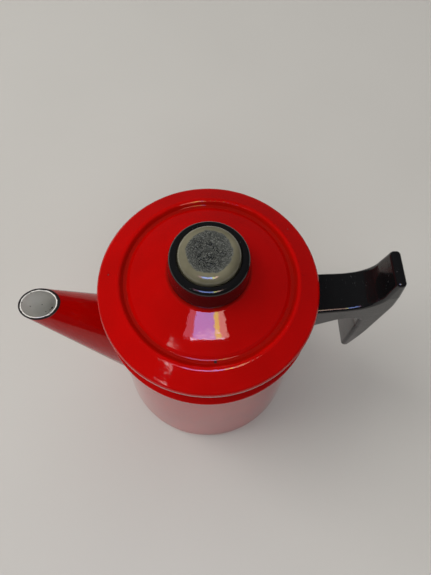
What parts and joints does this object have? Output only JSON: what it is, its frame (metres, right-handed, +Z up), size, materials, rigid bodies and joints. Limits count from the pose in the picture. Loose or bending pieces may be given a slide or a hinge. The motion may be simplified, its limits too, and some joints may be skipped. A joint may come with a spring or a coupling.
{
  "type": "stovetop coffee percolator",
  "caption": "Enamelled stovetop coffee percolator with tapered pot, long spout, hanging side handle, lift-off lid with clear viewing knob, and a lift-out brewing insert.",
  "frame": {"origin": "centre of the flat base, on the table", "axes": "+Z up, +X towards the handle, -X towards the spout"},
  "size_m": [0.2166, 0.1348, 0.2092],
  "materials": {
    "red_enamel": "gloss",
    "white_enamel": "gloss",
    "black_plastic": "gloss",
    "clear": "clear",
    "seal": "matte",
    "steel": "satin",
    "aluminium": "satin"
  },
  "bodies": {
    "pot": {"pot_body": "red_enamel", "spout": "red_enamel", "handle_bracket": "steel", "handle_grip": "black_plastic", "handle_screw": "steel"},
    "stem": {"stem_tube": "aluminium", "stem_foot": "aluminium", "stem_stop": "aluminium"},
    "basket": {"basket_shell": "aluminium", "basket_sleeve": "aluminium"},
    "cover": {"spreader_plate": "aluminium", "spreader_sleeve": "aluminium"},
    "lid": {"lid_shell": "red_enamel", "lid_flange": "white_enamel", "knob_gasket": "seal", "knob_collar": "black_plastic", "knob_glass": "clear", "knob_seal": "seal", "knob_retainer": "black_plastic"}
  },
  "joints": [
    {"name": "stem_lift", "type": "slide", "parent": "pot", "child": "stem", "axis": [0, 0, 1], "range_m": [0, 0.18]},
    {"name": "basket_lift", "type": "slide", "parent": "stem", "child": "basket", "axis": [0, 0, 1], "range_m": [0, 0.05]},
    {"name": "cover_lift", "type": "slide", "parent": "basket", "child": "cover", "axis": [0, 0, 1], "range_m": [0, 0.04]},
    {"name": "lid_lift", "type": "slide", "parent": "cover", "child": "lid", "axis": [0, 0, 1], "range_m": [0, 0.06]}
  ]
}
